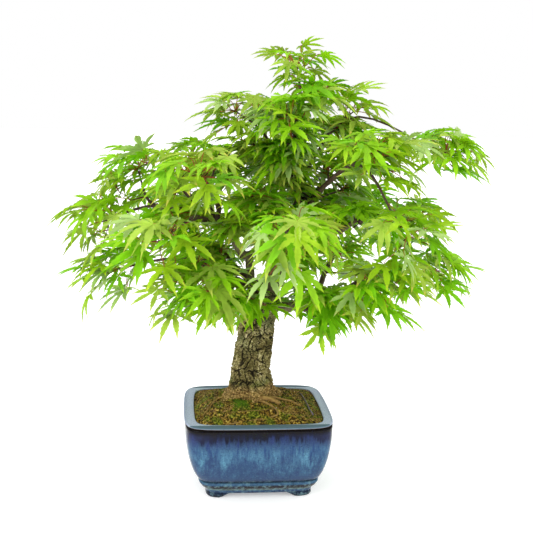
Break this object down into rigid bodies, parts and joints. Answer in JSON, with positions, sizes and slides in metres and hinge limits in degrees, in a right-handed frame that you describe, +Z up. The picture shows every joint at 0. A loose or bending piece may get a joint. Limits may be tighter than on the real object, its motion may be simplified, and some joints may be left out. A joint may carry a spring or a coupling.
{
  "type": "potted bonsai japanese maple",
  "caption": "Japanese maple bonsai with a thick leaning trunk and a broad, spreading crown of lobed green leaves, growing in a blue glazed pot on low corner feet.",
  "frame": {"origin": "middle of the plant's footprint, on the level that the pot's feet stand on", "axes": "+Z up, -Y is the front of the tree and of the pot, +X to its right as seen from the front; X is the crown's longest extent and Y its shortest"},
  "size_m": [0.6184, 0.5366, 0.6102],
  "materials": {
    "glaze": "glossy blue drip glaze, dark under the rim and at the foot",
    "soil": "damp grit and soil with moss and fine roots",
    "bark": "fissured grey-olive bark, mossy at the foot",
    "young_bark": "smooth grey-brown and maroon young bark",
    "leaves": "bright yellow-green leaves with a soft satin surface"
  },
  "bodies": {
    "root": {"bough_left": "bark", "bough_low_right": "bark", "bough_right": "bark", "bough_to_hanging": "young_bark", "bough_to_low_back_left": "young_bark", "bough_to_low_back_right": "young_bark", "bough_to_low_front_left": "young_bark", "bough_to_low_front_right": "young_bark", "bough_to_low_left": "young_bark", "bough_to_middle_back": "young_bark", "bough_to_middle_back_left": "young_bark", "bough_to_middle_back_right": "young_bark", "bough_to_middle_front": "young_bark", "bough_to_middle_front_left": "young_bark", "bough_to_middle_front_right": "young_bark", "bough_to_middle_right": "young_bark", "bough_to_shoulder_back": "young_bark", "bough_to_shoulder_back_left": "young_bark", "bough_to_shoulder_back_right": "young_bark", "bough_to_shoulder_front_left": "young_bark", "bough_to_shoulder_front_right": "young_bark", "bough_to_shoulder_left": "young_bark", "bough_to_upper_back": "young_bark", "bough_to_upper_front": "young_bark", "bough_to_upper_left": "young_bark", "bough_to_upper_right": "young_bark", "foliage_apex": "leaves", "foliage_hanging": "leaves", "foliage_low_back_left": "leaves", "foliage_low_back_right": "leaves", "foliage_low_front_left": "leaves", "foliage_low_front_right": "leaves", "foliage_low_left": "leaves", "foliage_low_right": "leaves", "foliage_middle_back": "leaves", "foliage_middle_back_left": "leaves", "foliage_middle_back_right": "leaves", "foliage_middle_front": "leaves", "foliage_middle_front_left": "leaves", "foliage_middle_front_right": "leaves", "foliage_middle_left": "leaves", "foliage_middle_right": "leaves", "foliage_shoulder_back": "leaves", "foliage_shoulder_back_left": "leaves", "foliage_shoulder_back_right": "leaves", "foliage_shoulder_front_left": "leaves", "foliage_shoulder_front_right": "leaves", "foliage_shoulder_left": "leaves", "foliage_shoulder_right": "leaves", "foliage_upper_back": "leaves", "foliage_upper_front": "leaves", "foliage_upper_left": "leaves", "foliage_upper_right": "leaves", "leader": "bark", "leader_top": "bark", "pot": "glaze", "soil": "soil", "trunk": "bark"}
  },
  "joints": []
}
